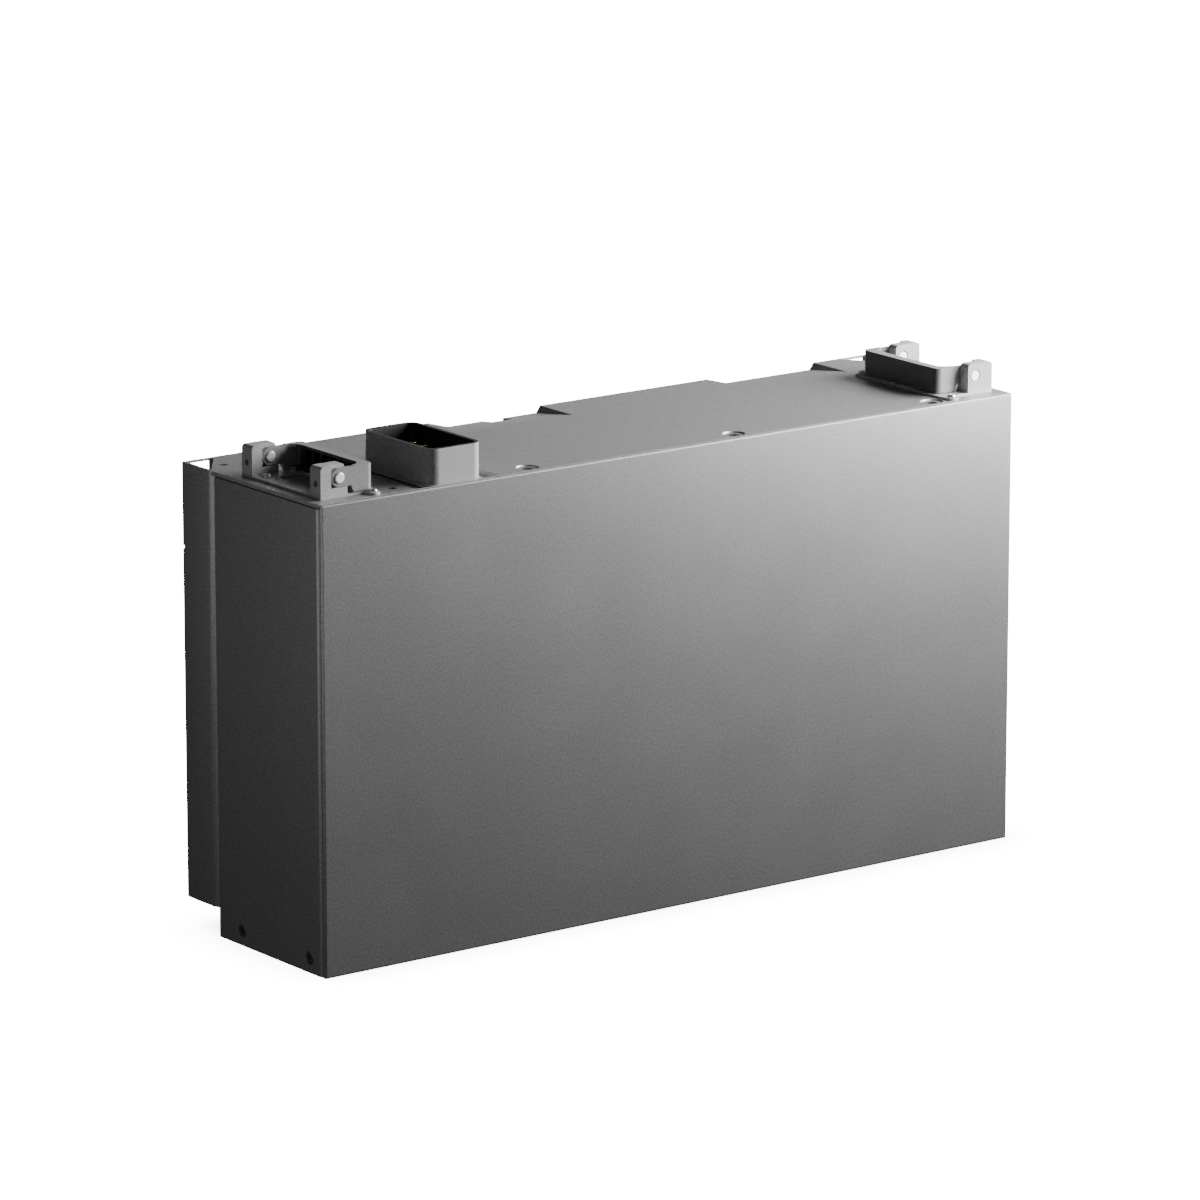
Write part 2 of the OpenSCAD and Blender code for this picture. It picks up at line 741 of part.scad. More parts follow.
// One ear: a block with a corner pocket in which the handle's eye turns
module ear(y0) {
    r = 3;
    difference() {
        along_y(y0, y0 + ear_t) {
            translate([-ear_out, 0]) square([ear_w, ear_h - r]);
            translate([-ear_out + r, 0]) square([ear_w - 2 * r, ear_h]);
            for (x = [-ear_out + r, pivot_in - r]) translate([x, ear_h - r]) circle(r);
        }
        span(-cheek_x, ear_w, y0 - 1, y0 + pocket_depth, pocket_floor, ear_h + 1);
        translate([0, y0 - 1, pivot_z]) rotate([-90, 0, 0]) cylinder(h = ear_t + 2, d = pin_d);
        // counterbore for the pin's riveted end
        translate([0, y0 + ear_t - 0.8, pivot_z]) rotate([-90, 0, 0]) cylinder(h = 2, d = pin_d + 4);
        // threaded hole for the lock screw of the module above
        translate([-ear_out - 1, y0 + ear_t / 2, lock_z]) rotate([0, 90, 0])
            cylinder(h = ear_out - cheek_x + 0.6, d = lock_d - 1);
    }
}

// Bracket: a screwed foot with two ears
module bracket() {
    w = foot_in + ear_out;
    difference() {
        union() {
            translate([(foot_in - ear_out) / 2, 0, 0]) linear_extrude(foot_t) rounded(w, bracket_d, 3);
            for (y = [-1, 1])
                translate([foot_lug_x, y * foot_lug_y, 0]) linear_extrude(foot_t) {
                    circle(foot_lug_r);
                    translate([-foot_lug_r, y > 0 ? -foot_lug_r : 0])
                        square([2 * foot_lug_r, foot_lug_r]);
                }
            ear(-bracket_d / 2);
            ear(bracket_d / 2 - ear_t);
        }
        // window that lets fingers reach under the handle
        translate([(foot_in - ear_out) / 2 + 2, 0, -1]) linear_extrude(foot_t + 2)
            rounded(w - 26, ear_pitch - ear_t - 24, 6);
        foot_screw_places() translate([0, 0, -1]) cylinder(h = foot_t + 2, d = foot_screw_d + 2 * screw_play);
    }
}
module left_bracket() { color([0.2, 0.2, 0.21]) bracket_place(0) bracket(); }
module right_bracket() { color([0.2, 0.2, 0.21]) bracket_place(180) bracket(); }

// Outline of the handle from above, its corners rounded on the grip's side
module handle_plan(inset) {
    x0 = -eye_r;
    y0 = arm_front_y + inset;
    y1 = arm_rear_y + arm_t - inset;
    x1 = handle_reach - inset;
    r = max(handle_r - inset, 0.5);
    translate([x0, y0]) square([x1 - r - x0, y1 - y0]);
    translate([x1 - r - eps, y0 + r]) square([r + eps, y1 - y0 - 2 * r]);
    for (y = [y0 + r, y1 - r]) translate([x1 - r, y]) circle(r);
}

// Space between the handle's arms, rounded where they meet the grip
module handle_gap(depth, r) {
    y0 = arm_front_y + arm_t;
    y1 = arm_rear_y;
    x1 = handle_reach - depth;
    translate([-eye_r - 1, y0]) square([x1 - r + eye_r + 1, y1 - y0]);
    translate([x1 - r - eps, y0 + r]) square([r + eps, y1 - y0 - 2 * r]);
    for (y = [y0 + r, y1 - r]) translate([x1 - r, y]) circle(r);
}

// One arm of the handle: a round eye on the pin and a step down to the grip
module arm(y0) {
    step_x = pivot_in + 3;
    top_z = pivot_z + eye_r;
    difference() {
        along_y(y0, y0 + arm_t) {
            translate([0, pivot_z]) circle(eye_r);
            translate([0, arm_z0]) square([handle_reach - handle_r, 2 * eye_r]);
            polygon([[step_x, arm_z0 + 1], [step_x + 3, bar_z0], [handle_reach - handle_r, bar_z0],
                     [handle_reach - handle_r, top_z], [step_x, top_z]]);
        }
        translate([0, y0 - 1, pivot_z]) rotate([-90, 0, 0]) cylinder(h = arm_t + 2, d = pin_d + 2 * pin_play);
    }
}

// Carry handle: two arms and a channelled grip bar, ribbed on its inner side
module handle() {
    bar_z1 = bar_z0 + bar_h;
    grip_x = handle_reach - bar_d;
    inner_y0 = arm_front_y + arm_t;
    inner_y1 = arm_rear_y;
    arm(arm_front_y);
    arm(arm_rear_y);
    // outer wall of the grip
    translate([0, 0, bar_z0]) linear_extrude(bar_h) difference() {
        handle_plan(0);
        handle_gap(bar_wall, 4);
        translate([-50, -200]) square([50 + handle_reach - handle_r - 0.5, 400]);
    }
    // lower and upper lips
    for (z = [bar_z0, bar_z1 - bar_wall])
        translate([0, 0, z]) linear_extrude(bar_wall) difference() {
            handle_plan(0);
            handle_gap(bar_d, 10);
            translate([-50, -200]) square([50 + grip_x - 10, 400]);
        }
    // ribs
    for (i = [1:rib_count - 1])
        translate([0, inner_y0 + i * (inner_y1 - inner_y0) / rib_count - rib_t / 2, bar_z0])
            translate([grip_x + 1, 0, 0]) cube([bar_d - 2, rib_t, bar_h]);
}
module left_handle() { color([0.15, 0.15, 0.16]) bracket_place(0) handle(); }
module right_handle() { color([0.15, 0.15, 0.16]) bracket_place(180) handle(); }

// Two hinge pins, headed on the handle's side and riveted on the other
module hinge_pins() {
    for (y0 = [-bracket_d / 2, bracket_d / 2 - ear_t])
        translate([0, y0, pivot_z]) rotate([-90, 0, 0]) {
            translate([0, 0, -pin_head_h]) cylinder(h = pin_head_h, d1 = pin_head_d - 1.5, d2 = pin_head_d);
            cylinder(h = ear_t - 0.8, d = pin_d);
            translate([0, 0, ear_t - 0.8]) cylinder(h = 0.8, d1 = pin_d, d2 = pin_d + 2.5);
        }
}
module left_hinge_pins() { color("silver") bracket_place(0) hinge_pins(); }
module right_hinge_pins() { color("silver") bracket_place(180) hinge_pins(); }

// Screws through a bracket's foot
module foot_screws() {
    translate([0, 0, foot_t]) foot_screw_places() button_screw(foot_screw_d, small_head_d, 2.4, foot_t + top_t);
}
module left_bracket_screws() { color("silver") bracket_place(0) foot_screws(); }
module right_bracket_screws() { color("silver") bracket_place(180) foot_screws(); }

// Screws of the top plate, in their dimples and at the corners
module top_screws() {
    color("silver") {
        at_top_screws() translate([0, 0, -dimple_depth]) csk_screw(top_screw_d, 9, 1.7, 8);
        at_corner_screws() csk_screw(small_screw_d, small_head_d, 1.5, 9);
    }
}

// Countersunk lock screws in the skirt
module lock_screws() {
    color("silver") at_lock_screws() csk_screw(lock_d, csk_head_d, csk_head_h, 9);
}

// Screws that hold the rear housing's flange to the shell
module rear_screws() {
    color("silver") at_rear_screws() button_screw(small_screw_d, small_head_d, small_head_h,
                                                  2 * sheet_t + seam_w + 1);
}

// Pad that carries heat from the cells to the floor of the case
module thermal_pad() {
    color("lightgray") span(cells_x0, -cells_x0, cells_cy - cell_w / 2, cells_cy + cell_w / 2,
                            tray_top, cells_z);
}

// Thin pads between the cells
module cell_pads() {
    color("white") for (i = [1:cell_count - 1])
        translate([cells_x0 + i * cell_pitch - cell_pad_t, cells_cy - cell_w / 2 + 5, cells_z + 5])
            cube([cell_pad_t, cell_w - 10, cell_h - 10]);
}

// One prismatic cell with its two terminals and its vent
module cell(i) {
    x = cells_x0 + (i - 1) * cell_pitch + cell_t / 2;
    color("steelblue") translate([x, cells_cy, cells_z]) {
        difference() {
            linear_extrude(cell_h) rounded(cell_t, cell_w, 2);
            translate([0, 0, cell_h - 0.4]) cylinder(h = 1, d = 12);
        }
        for (y = [-1, 1])
            translate([0, y * terminal_off, cell_h - eps]) cylinder(h = terminal_h + eps, d = terminal_d);
    }
}

// End plate with weight-saving pockets on its outer face
module end_plate(side) {
    x0 = -cells_x0;
    color("gray") mirror([side < 0 ? 1 : 0, 0, 0]) difference() {
        span(x0, x0 + end_plate_t, cells_cy - cell_w / 2, cells_cy + cell_w / 2, tray_top, deck_z);
        for (y = [-1, 1], z = [0:2])
            translate([x0 + end_plate_t - 4, cells_cy + y * cell_w / 4 - cell_w * 0.15,
                       tray_top + cell_h * (0.1 + z * 0.32)])
                cube([6, cell_w * 0.3, cell_h * 0.24]);
    }
}

// Steel bands that squeeze the row of cells
module compression_bands() {
    x1 = -cells_x0 + end_plate_t;
    color("silver") for (z = [1, 3])
        translate([0, cells_cy, tray_top + z * cell_h / 4 - band_h / 2]) linear_extrude(band_h) difference() {
            square([2 * (x1 + band_t), cell_w + 2 * band_t], center = true);
            square([2 * x1, cell_w], center = true);
        }
}

// Moulded tray that holds the busbars apart over the terminals
module busbar_tray() {
    color("white") difference() {
        span(cells_x0 + 4, -cells_x0 - 4, cells_cy - cell_w / 2 + 6, cells_cy + cell_w / 2 - 6,
             cells_top, cells_top + tray_base_t);
        for (i = [1:cell_count], y = [-1, 1])
            translate([cells_x0 + (i - 1) * cell_pitch + cell_t / 2, cells_cy + y * terminal_off, cells_top - 1])
                cylinder(h = 10, d = terminal_d + 1);
        for (i = [1:cell_count])
            translate([cells_x0 + (i - 1) * cell_pitch + cell_t / 2, cells_cy, cells_top - 1])
                cylinder(h = 10, d = 14);
    }
}

// Bars that join the cells in series, front and back by turns
module busbars() {
    color("orange") for (i = [1:cell_count - 1])
        translate([cells_x0 + i * cell_pitch - cell_pad_t / 2,
                   cells_cy + (i % 2 ? 1 : -1) * terminal_off, cells_top + terminal_h])
            linear_extrude(busbar_t) rounded(cell_pitch + terminal_d, terminal_d + 4, 3);
}

// Folded deck over the cells, carried by the end plates
module electronics_deck() {
    x1 = -cells_x0 + end_plate_t;
    color("silver") difference() {
        span(-x1, x1, cells_cy - cell_w / 2, cells_cy + cell_w / 2, deck_z, deck_z + deck_t);
        for (i = [-3:3]) translate([i * 80, cells_cy, deck_z - 1])
            linear_extrude(deck_t + 2) rounded(40, 12, 5);
    }
}

// Battery management board on its posts, with its chips and plug
module bms_board() {
    x0 = -40;
    y0 = cells_cy - 50;
    color("darkgreen") {
        span(x0, x0 + 200, y0, y0 + 100, deck_z + deck_t + 6, deck_z + deck_t + 7.6);
        for (x = [8, 192], y = [8, 92]) translate([x0 + x, y0 + y, deck_z + deck_t])
            cylinder(h = 6 + eps, d = 6);
        for (x = [0:3]) span(x0 + 30 + 38 * x, x0 + 44 + 38 * x, y0 + 40, y0 + 54,
                             deck_z + deck_t + 7.6 - eps, deck_z + deck_t + 9.4);
        span(x0 + 60, x0 + 140, y0 + 84, y0 + 94, deck_z + deck_t + 7.6 - eps, deck_z + deck_t + 19);
    }
}

// Contactor that switches the pack's output
module contactor() {
    color([0.2, 0.2, 0.22]) translate([-110, cells_cy + 10, deck_z + deck_t]) {
        linear_extrude(6) rounded(64, 60, 4);
        linear_extrude(52) rounded(50, 50, 8);
        for (x = [-1, 1]) translate([x * 13, 0, 52 - eps]) cylinder(h = 8, d = 12);
    }
}

// Main fuse in its holder
module main_fuse() {
    color("ivory") translate([190, cells_cy - 10, deck_z + deck_t]) {
        linear_extrude(10) rounded(30, 84, 3);
        translate([0, 30, 20]) rotate([90, 0, 0]) cylinder(h = 60, d = 24);
    }
}

// Shunt that measures the pack's current
module current_shunt() {
    color("orange") translate([250, cells_cy, deck_z + deck_t]) difference() {
        linear_extrude(12) rounded(20, 84, 2);
        translate([0, 0, 14]) cube([30, 30, 16], center = true);
    }
}

// Copper links from the connector's blades down to the deck
module power_links() {
    color("orange") translate([shroud_cx, shroud_cy, 0]) at_contacts()
        translate([0, 0, deck_z + deck_t]) linear_extrude(case_h - 22 - deck_z - deck_t)
            square([10, 3], center = true);
}

// Flat leads from the plug under the case up to the electronics deck
module through_leads() {
    lead_top = deck_z + deck_t;
    color("orange") at_leads() {
        translate([-lead_w / 2, seat_gap, recess_h]) cube([lead_w, lead_t, lead_top + lead_t - recess_h]);
        translate([-lead_w / 2, seat_gap, lead_top]) cube([lead_w, 20, lead_t]);
    }
}

// Converter board on the shell's rear wall
module converter_board() {
    color("darkgreen") {
        span(-board_w / 2, board_w / 2, board_y, board_y + board_t, board_z0, board_z1);
        for (x = [-1, 0, 1], z = [board_z0 + 15, board_z1 - 15])
            translate([x * (board_w / 2 - 15), block_back_y, z])
                rotate([-90, 0, 0]) cylinder(h = board_y - block_back_y + eps, d = 7);
    }
}

// Wound inductors on the converter board
module inductors() {
    color("orange") for (i = [0:2])
        translate([board_w * (-0.33 + i * 0.16), board_y + board_t, board_z0 + board_h * 0.7])
            rotate([-90, 0, 0]) difference() {
                cylinder(h = part_deep, d = board_h * 0.24);
                translate([0, 0, -1]) cylinder(h = part_deep + 2, d = board_h * 0.09);
            }
}

// Row of capacitors on the converter board
module capacitors() {
    color("navy") for (x = [0:5], z = [0, 1])
        translate([board_w * (0.13 + x * 0.058), board_y + board_t, board_z0 + board_h * (0.6 + z * 0.14)])
            rotate([-90, 0, 0]) cylinder(h = part_deep, d = board_h * 0.09);
}

// Finned heat sink for the converter's switches
module heat_sink() {
    y0 = board_y + board_t;
    w = board_w * 0.87;
    z0 = board_z0 + board_h * 0.1;
    z1 = board_z0 + board_h * 0.42;
    pitch = (w - fin_t) / (fin_count - 1);
    color("silver") {
        span(-w / 2, w / 2, y0, y0 + 4, z0, z1);
        for (i = [0:fin_count - 1])
            span(-w / 2 + i * pitch, -w / 2 + i * pitch + fin_t, y0 + 4 - eps, y0 + part_deep, z0, z1);
    }
}

front_cover();
front_seal();
case_shell();
base_tray();
stack_bars();
top_plate();
top_seal();
rear_housing();
rear_seal();
connector_shroud();
connector_seal();
power_contacts();
signal_contacts();
stack_plug();
plug_contacts();
left_bracket();
right_bracket();
left_handle();
right_handle();
left_hinge_pins();
right_hinge_pins();
left_bracket_screws();
right_bracket_screws();
top_screws();
lock_screws();
rear_screws();
thermal_pad();
cell_pads();
end_plate(-1);  // left_end_plate
end_plate(1);  // right_end_plate
compression_bands();
busbar_tray();
busbars();
electronics_deck();
bms_board();
contactor();
main_fuse();
current_shunt();
power_links();
through_leads();
converter_board();
inductors();
capacitors();
heat_sink();
for (i = [1:cell_count])
    cell(i);
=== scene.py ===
# %% [markdown]
# Home battery module
# The module is a slim metal case with two folding handles and a shrouded connector on top.
# Its solids come from the imported model, already in their places, in metres. This lesson gives
# them their finish: softened edges, powder coat, satin plastics, rubber seals, bare metal, and
# a light that shows them. The first cell loads the solids.

# %% Load the solids
import json
import math

import bmesh
import bpy
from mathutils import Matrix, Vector


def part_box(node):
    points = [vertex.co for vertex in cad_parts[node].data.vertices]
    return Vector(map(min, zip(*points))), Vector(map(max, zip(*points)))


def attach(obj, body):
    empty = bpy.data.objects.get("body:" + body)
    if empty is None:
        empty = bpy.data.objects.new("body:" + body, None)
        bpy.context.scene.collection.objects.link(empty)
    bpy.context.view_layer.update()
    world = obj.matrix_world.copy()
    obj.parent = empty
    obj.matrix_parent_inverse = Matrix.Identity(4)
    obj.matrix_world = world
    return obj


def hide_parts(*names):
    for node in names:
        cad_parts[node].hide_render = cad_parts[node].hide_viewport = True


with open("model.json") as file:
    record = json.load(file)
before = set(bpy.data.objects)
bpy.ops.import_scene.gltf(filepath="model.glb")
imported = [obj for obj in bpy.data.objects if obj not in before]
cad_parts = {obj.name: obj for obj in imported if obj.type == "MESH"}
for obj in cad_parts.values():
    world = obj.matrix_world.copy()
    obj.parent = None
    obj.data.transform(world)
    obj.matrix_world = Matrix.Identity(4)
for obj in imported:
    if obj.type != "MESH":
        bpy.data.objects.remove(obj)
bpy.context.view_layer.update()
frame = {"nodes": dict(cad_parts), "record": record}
nodes = frame["nodes"]
body_of_node = {n: b for b, names in frame["record"]["behaviour"]["bodies"].items() for n in names}

# %% [markdown]
# The camera
# A long lens far away keeps the case's upright edges nearly parallel, as product pictures do.
# A camera could be placed by eye, but here its place was worked out from the corners of the
# case, so the numbers are written down and the camera is turned along one direction.

# %% Camera
CAMERA_PLACE = Vector((-3.3881, -4.54595, 1.6209))
CAMERA_LOOK = Vector((0.5798, 0.7793, -0.2379))
CAMERA_LENS = 219.16
SENSOR_WIDTH = 36.0
FARTHEST_SEEN = 100.0

camera = bpy.data.objects.new("camera", bpy.data.cameras.new("camera"))
bpy.context.scene.collection.objects.link(camera)
camera.location = CAMERA_PLACE
camera.rotation_mode = "QUATERNION"
camera.rotation_quaternion = CAMERA_LOOK.to_track_quat("-Z", "Y")
camera.data.sensor_width = SENSOR_WIDTH
camera.data.lens = CAMERA_LENS
camera.data.clip_end = FARTHEST_SEEN
bpy.context.scene.camera = camera
print("camera at", tuple(round(v, 2) for v in camera.location))

# %% [markdown]
# Studio and light
# A metallic case shows little but what its faces mirror, so each light is placed where one face
# mirrors it to the camera. A large soft key light stands close on the right: the front falls off
# from bright at the upper right to dim at the lower left. A light far behind brightens the top
# at a low angle, and weak ones at the left lift the dark side. Two more stand behind and at the
# right for anyone who walks round. The floor and the backdrop look white to the camera, but are
# nearly dark in reflections, because a bright floor would wash out the lower half of the front.

# %% Floor
FLOOR_REACH = 30
FLOOR_SEEN = 18.0
FLOOR_MIRRORED = 0.025
PAINTED_SHADOW_REACH = 0.05

floor_corners = [(x * FLOOR_REACH, y * FLOOR_REACH, 0) for x, y in ((-1, -1), (1, -1), (1, 1), (-1, 1))]
floor_mesh = bpy.data.meshes.new("studio_floor")
floor_mesh.from_pydata(floor_corners, [], [(0, 1, 2, 3)])
floor = bpy.data.objects.new("studio_floor", floor_mesh)
bpy.context.scene.collection.objects.link(floor)

floor_paint = bpy.data.materials.new("studio_floor_paint")
floor_paint.use_nodes = True
floor_tree = floor_paint.node_tree
floor_shader = floor_tree.nodes["Principled BSDF"]
floor_shader.inputs["Base Color"].default_value = (0, 0, 0, 1)
floor_shader.inputs["Roughness"].default_value = 1.0
floor_shader.inputs["Specular IOR Level"].default_value = 0.0
floor_shader.inputs["Emission Color"].default_value = (1, 1, 1, 1)
seen = floor_tree.nodes.new("ShaderNodeLightPath")
# Painted shadow: the floor's glow is multiplied by ambient occlusion, so a soft contact shadow is painted
# round the foot of the case.
painted_contact_shadow = floor_tree.nodes.new("ShaderNodeAmbientOcclusion")
painted_contact_shadow.inputs["Distance"].default_value = PAINTED_SHADOW_REACH
glow = floor_tree.nodes.new("ShaderNodeMath")
glow.operation = "MULTIPLY"
glow_level = floor_tree.nodes.new("ShaderNodeMath")
glow_level.operation = "MULTIPLY_ADD"
glow_level.inputs[1].default_value = FLOOR_SEEN
glow_level.inputs[2].default_value = FLOOR_MIRRORED
floor_tree.links.new(seen.outputs["Is Camera Ray"], glow.inputs[0])
floor_tree.links.new(painted_contact_shadow.outputs["AO"], glow.inputs[1])
floor_tree.links.new(glow.outputs["Value"], glow_level.inputs[0])
floor_tree.links.new(glow_level.outputs["Value"], floor_shader.inputs["Emission Strength"])
floor.data.materials.append(floor_paint)

# %% World
BACKDROP_SEEN = 20.0
BACKDROP_MIRRORED = 0.06

world = bpy.data.worlds.new("studio")
bpy.context.scene.world = world
world.use_nodes = True
sky = world.node_tree
backdrop = sky.nodes["Background"]
backdrop.inputs["Color"].default_value = (1, 1, 1, 1)
camera_sees = sky.nodes.new("ShaderNodeLightPath")
level = sky.nodes.new("ShaderNodeMapRange")
level.inputs["To Min"].default_value = BACKDROP_MIRRORED
level.inputs["To Max"].default_value = BACKDROP_SEEN
sky.links.new(camera_sees.outputs["Is Camera Ray"], level.inputs["Value"])
sky.links.new(level.outputs["Result"], backdrop.inputs["Strength"])

# %% Lights


def softbox(name, place, target, width, height, power):
    """A rectangular area light that faces a target; power in watts."""
    data = bpy.data.lights.new(name, "AREA")
    data.shape = "RECTANGLE"
    data.size = width
    data.size_y = height
    data.energy = power
    lamp = bpy.data.objects.new(name, data)
    lamp.location = place
    lamp.rotation_mode = "QUATERNION"
    lamp.rotation_quaternion = (Vector(target) - Vector(place)).to_track_quat("-Z", "Y")
    lamp.visible_camera = False
    bpy.context.scene.collection.objects.link(lamp)


# Each row is a name, a place, a target, a width, a height and a power.
LAMPS = [
    ("key_light", (0.82, -0.46, 0.69), (-0.1, -0.1, 0.3), 0.8, 0.8, 58),
    ("back_light", (0.93, 1.25, 0.8), (0, 0, 0.37), 1.4, 0.7, 1.6),
    ("left_light", (-1.1, 0.3, 0.35), (-0.34, -0.05, 0.25), 0.6, 0.6, 0.31),
    ("low_left_light", (-1.2, 0.1, 0.16), (-0.34, -0.05, 0.1), 0.7, 0.3, 0.5),
    ("front_left_light", (-0.95, -0.55, 0.25), (-0.34, -0.05, 0.2), 0.5, 0.4, 0.31),
    ("rear_light", (0.3, 1.4, 0.22), (0, 0.1, 0.2), 1.2, 0.36, 5),
    ("right_light", (1.5, 0.35, 0.22), (0.34, 0, 0.2), 0.8, 0.36, 3.5),
]
for lamp in LAMPS:
    softbox(*lamp)
print("lights:", [lamp[0] for lamp in LAMPS])

# %% [markdown]
# Node helpers
# Every finish below is a small tree of shader nodes, and a few helpers keep the recipes short.
# One makes a material with its main shader. Another adds a noise pattern that reads the piece's
# own Object coordinates, so the pattern stays on the piece when it moves. The rest let such a
# pattern change the colour, the roughness or the height of the surface.

# %% Material helpers


def new_material(name, color, roughness, metallic=0.0):
    """A material with its colour, roughness and metal set on the main shader."""
    mat = bpy.data.materials.new(name)
    mat.use_nodes = True
    shader = mat.node_tree.nodes["Principled BSDF"]
    shader.inputs["Base Color"].default_value = (*color, 1)
    shader.inputs["Roughness"].default_value = roughness
    shader.inputs["Metallic"].default_value = metallic
    return mat, mat.node_tree, shader


def grey(tone):
    """A grey with a trace of blue."""
    return (tone, tone, tone * 1.02)


def noise(tree, scale, detail=2.0, stretch=(1, 1, 1)):
    """A noise pattern on the piece's own coordinates, and its output socket."""
    coords = tree.nodes.new("ShaderNodeTexCoord")
    mapping = tree.nodes.new("ShaderNodeMapping")
    mapping.inputs["Scale"].default_value = stretch
    pattern = tree.nodes.new("ShaderNodeTexNoise")
    pattern.inputs["Scale"].default_value = scale
    pattern.inputs["Detail"].default_value = detail
    tree.links.new(coords.outputs["Object"], mapping.inputs["Vector"])
    tree.links.new(mapping.outputs["Vector"], pattern.inputs["Vector"])
    return pattern.outputs["Fac"]


def spread(tree, source, low, high, from_low=0.3, from_high=0.7):
    """Turns a pattern's middle range into a range of another value."""
    ramp = tree.nodes.new("ShaderNodeMapRange")
    ramp.inputs["From Min"].default_value = from_low
    ramp.inputs["From Max"].default_value = from_high
    ramp.inputs["To Min"].default_value = low
    ramp.inputs["To Max"].default_value = high
    tree.links.new(source, ramp.inputs["Value"])
    return ramp.outputs["Result"]


def shade_colour(tree, shader, source, dark, light, from_low=0.3, from_high=0.7):
    """Lets a pattern move the base colour between two shades."""
    mix = tree.nodes.new("ShaderNodeMix")
    mix.data_type = "RGBA"
    mix.inputs["A"].default_value = (*dark, 1)
    mix.inputs["B"].default_value = (*light, 1)
    tree.links.new(spread(tree, source, 0, 1, from_low, from_high), mix.inputs["Factor"])
    tree.links.new(mix.outputs["Result"], shader.inputs["Base Color"])


def bump(tree, shader, source, strength, distance):
    """Raises the surface by a pattern, in metres, without changing its shape."""
    node = tree.nodes.new("ShaderNodeBump")
    node.inputs["Strength"].default_value = strength
    node.inputs["Distance"].default_value = distance
    tree.links.new(source, node.inputs["Height"])
    tree.links.new(node.outputs["Normal"], shader.inputs["Normal"])


# %% [markdown]
# Powder coat
# The case is steel sheet under a powder coat with metal flakes, a paint that is baked on as a
# dust and dries with a fine grain like orange peel. One way is an image of the grain; here one
# fine noise lifts the surface by some hundredths of a millimetre, another one mottles the colour
# and a broad one changes the roughness a little, which stays sharp at any distance. A nearly
# full metallic value with a middle roughness gives the wide, soft falloff of such a paint.

# %% Powder coat
FLAKE_SHARE = 0.95
MOTTLE_SCALE = 480
MOTTLE_CHANGE = 0.1
GRAIN_SCALE = 1400
GRAIN_LIFT = 0.00005
CLOUD_SCALE = 14
CLOUD_CHANGE = 0.006


def powder_coat(name, tone, roughness):
    """Grey metallic powder coat with a fine grain, slight mottle and uneven sheen."""
    mat, tree, shader = new_material(name, grey(tone), roughness, FLAKE_SHARE)
    dark = grey(tone * (1 - MOTTLE_CHANGE))
    light = grey(tone * (1 + MOTTLE_CHANGE))
    shade_colour(tree, shader, noise(tree, MOTTLE_SCALE, 3), dark, light, 0.35, 0.65)
    bump(tree, shader, noise(tree, GRAIN_SCALE), 0.5, GRAIN_LIFT)
    cloud = noise(tree, CLOUD_SCALE, 3)
    sheen = spread(tree, cloud, roughness - CLOUD_CHANGE, roughness + CLOUD_CHANGE)
    tree.links.new(sheen, shader.inputs["Roughness"])
    return mat


cover_paint = powder_coat("cover_powder_coat", 0.45, 0.36)
case_paint = powder_coat("case_powder_coat", 0.42, 0.42)
top_paint = powder_coat("top_powder_coat", 0.42, 0.54)
# Painted shade: a darker coat for the cover's folded top edge, which dims the highlight the key light makes
# on that round.
folded_edge_shade = powder_coat("folded_edge_painted_shade", 0.2, 0.5)
print("powder coats:", cover_paint.name, case_paint.name, top_paint.name, folded_edge_shade.name)

# %% [markdown]
# Plastics, casting and rubber
# The connector and the handles are moulded in grey plastic with a satin grain, the ear brackets
# are a coated casting with a coarser one, and the seals are dull rubber. They are matt next to
# the metallic paint, so they light up only where they face the large light and turn dark at the
# sides, as in the picture. Inside the case are boards under green lacquer and cells in blue film.

# %% Plastics and rubber
GRAIN_DARKENS = 0.85
GRAIN_LIGHTENS = 1.2


def moulded(name, color, roughness, grain_scale, lift):
    """Moulded or cast surface with a grain that is raised and changes the colour a little."""
    mat, tree, shader = new_material(name, color, roughness)
    grain = noise(tree, grain_scale)
    dark = tuple(GRAIN_DARKENS * c for c in color)
    light = tuple(min(GRAIN_LIGHTENS * c, 1) for c in color)
    shade_colour(tree, shader, grain, dark, light)
    bump(tree, shader, grain, 0.4, lift)
    return mat


shroud_plastic = moulded("shroud_satin_plastic", grey(0.32), 0.45, 900, 0.00001)
handle_plastic = moulded("handle_satin_plastic", grey(0.24), 0.36, 1100, 0.00003)
# Painted shade: a near-black that stands for the shade inside the connector's mouth and the grips' hollows.
hollow_shade_plastic = moulded("painted_shade_hollow_plastic", grey(0.012), 0.5, 900, 0.00002)
# Painted shade: a near-black for the grips' flat outer walls; on the right grip that wall faces left, away
# from the key light.
grip_wall_shade = moulded("grip_wall_painted_shade", grey(0.06), 0.6, 800, 0.00003)
bracket_coat = moulded("bracket_coated_casting", grey(0.36), 0.4, 800, 0.00004)
plug_plastic = moulded("plug_matte_plastic", grey(0.05), 0.5, 900, 0.00003)
seal_rubber = moulded("seal_dull_rubber", grey(0.02), 0.8, 600, 0.00003)
white_plastic = moulded("white_moulded_plastic", grey(0.75), 0.45, 500, 0.00002)
board_lacquer = moulded("green_board_lacquer", (0.02, 0.16, 0.07), 0.35, 400, 0.00001)
cell_film = moulded("blue_cell_film", (0.03, 0.13, 0.4), 0.3, 60, 0.00001)
core_powder = moulded("green_core_powder", (0.05, 0.18, 0.12), 0.6, 700, 0.00004)
print("moulded finishes ready")

# %% [markdown]
# Bare metals
# The bracket screws are zinc plated and the hinge pins bare steel, the screws sunk in the top
# plate are blackened and the lock screws oiled. Bars and leads are copper, contacts are gold
# plated. Turning and rolling leave faint lines, so the noise is stretched along one direction.

# %% Metals
LINE_SCALE = 220
LINE_LIFT = 0.00002
ACROSS_X = (12, 1, 1)
ACROSS_Z = (1, 1, 12)


